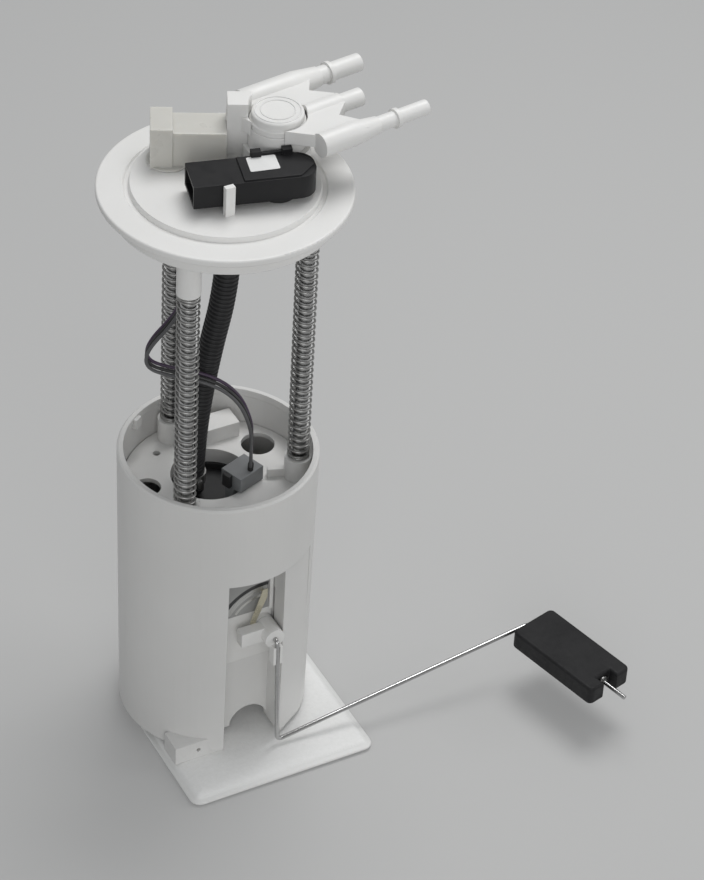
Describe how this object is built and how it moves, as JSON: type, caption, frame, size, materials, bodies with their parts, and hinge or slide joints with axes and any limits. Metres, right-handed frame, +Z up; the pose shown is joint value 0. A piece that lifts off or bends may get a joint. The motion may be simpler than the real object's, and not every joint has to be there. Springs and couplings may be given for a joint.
{
  "type": "fuel pump module",
  "caption": "In-tank fuel pump module: ported tank cover with sensor and receptacle on sprung guide rods over a reservoir holding an electric pump, with a float level sender and strainer",
  "frame": {"origin": "on the reservoir's axis, on the plane the strainer rests on", "axes": "+Z up through the tank cover, +X the side the three ports and the float arm point to, -Y the side of the level sender"},
  "size_m": [0.2611, 0.1911, 0.38],
  "materials": {
    "reservoir_plastic": "moulded acetal, satin",
    "white_plastic": "moulded acetal, satin",
    "natural_plastic": "unpigmented nylon, slightly see-through",
    "black_plastic": "glass-filled nylon",
    "sensor_black": "moulded, semi-gloss",
    "grey_plastic": "moulded",
    "black_rubber": "fuel-proof rubber",
    "hose_black": "convoluted nylon tube",
    "float_black": "closed-cell nitrile foam",
    "strainer_felt": "heat-bonded nylon felt",
    "pump_steel": "drawn and zinc plated",
    "rod_steel": "drawn stainless",
    "spring_steel": "spring wire",
    "clamp_steel": "stainless strip",
    "cast_aluminium": "die cast, machined",
    "bronze": "sintered or copper",
    "winding_copper": "varnished winding and core",
    "magnet_ferrite": "sintered ferrite",
    "brush_carbon": "pressed carbon",
    "tinned_brass": "tinned",
    "card_ceramic": "alumina with printed tracks",
    "lead_grey": "wire insulation",
    "lead_black": "wire insulation",
    "lead_purple": "wire insulation"
  },
  "bodies": {
    "reservoir": {"reservoir": "reservoir_plastic", "strainer_pad": "strainer_felt", "strainer_neck": "white_plastic", "floor_valve": "black_rubber", "pump_retainer": "white_plastic", "pump_case": "pump_steel", "pump_inlet_cover": "cast_aluminium", "pump_bearing_plate": "cast_aluminium", "pump_end_cap": "black_plastic", "pump_bearings": "bronze", "pump_magnets": "magnet_ferrite", "pump_brushes": "brush_carbon", "pump_brush_springs": "spring_steel", "check_valve_spring": "spring_steel", "pump_isolator": "black_rubber", "pump_connector": "grey_plastic", "pump_terminals": "tinned_brass", "pump_connector_latch": "black_plastic", "spring_right": "spring_steel", "spring_rear": "spring_steel", "spring_front": "spring_steel", "fuel_hose": "hose_black", "hose_clamp_lower": "clamp_steel", "lead_power": "lead_grey", "lead_ground": "lead_black", "lead_sender": "lead_purple", "sender_housing": "white_plastic", "sender_card": "card_ceramic", "sender_terminals": "tinned_brass"},
    "cover": {"tank_cover": "white_plastic", "port_manifold": "white_plastic", "vent_valve_housing": "white_plastic", "vent_valve_cap": "white_plastic", "electrical_receptacle": "natural_plastic", "receptacle_terminals": "tinned_brass", "pressure_sensor": "sensor_black", "sensor_terminals": "tinned_brass", "sensor_grommet": "black_rubber", "guide_rod_right": "rod_steel", "guide_rod_rear": "rod_steel", "guide_rod_front": "rod_steel", "rod_clips": "rod_steel", "harness_plug": "black_plastic", "hose_clamp_upper": "clamp_steel"},
    "pump_rotor": {"pump_shaft": "pump_steel", "pump_armature": "winding_copper", "pump_commutator": "bronze", "pump_impeller": "black_plastic"},
    "float_arm": {"float_arm": "rod_steel", "sender_rotor": "white_plastic", "wiper_contact": "tinned_brass", "float_retainer": "clamp_steel"},
    "float": {"float": "float_black"},
    "vent_float": {"vent_valve_float": "white_plastic"},
    "check_valve": {"check_valve": "white_plastic"}
  },
  "joints": [
    {"name": "cover_slide", "type": "slide", "parent": "reservoir", "child": "cover", "axis": [0, 0, 1], "range_m": [-0.06, 0], "stiffness_N_per_m": 600, "springref_m": 0.03, "deforming": ["spring_right", "spring_rear", "spring_front", "fuel_hose", "lead_power", "lead_ground", "lead_sender"]},
    {"name": "pump_rotor_turn", "type": "hinge", "parent": "reservoir", "child": "pump_rotor", "pos_m": [-0.002, 0.005, 0.08], "axis": [0, 0, 1], "continuous": true},
    {"name": "sender_pivot", "type": "hinge", "parent": "reservoir", "child": "float_arm", "pos_m": [0.0105, -0.045, 0.0815], "axis": [0, -1, 0], "range_deg": [0, 62]},
    {"name": "float_swivel", "type": "hinge", "parent": "float_arm", "child": "float", "pos_m": [0.17628, -0.08641, 0.0333], "axis": [0.2419, -0.9703, 0], "continuous": true},
    {"name": "vent_float_lift", "type": "slide", "parent": "cover", "child": "vent_float", "axis": [0, 0, 1], "range_m": [0, 0.004]},
    {"name": "check_valve_lift", "type": "slide", "parent": "reservoir", "child": "check_valve", "axis": [0, 0, 1], "range_m": [0, 0.002], "stiffness_N_per_m": 50, "springref_m": -0.003, "deforming": ["check_valve_spring"]}
  ]
}
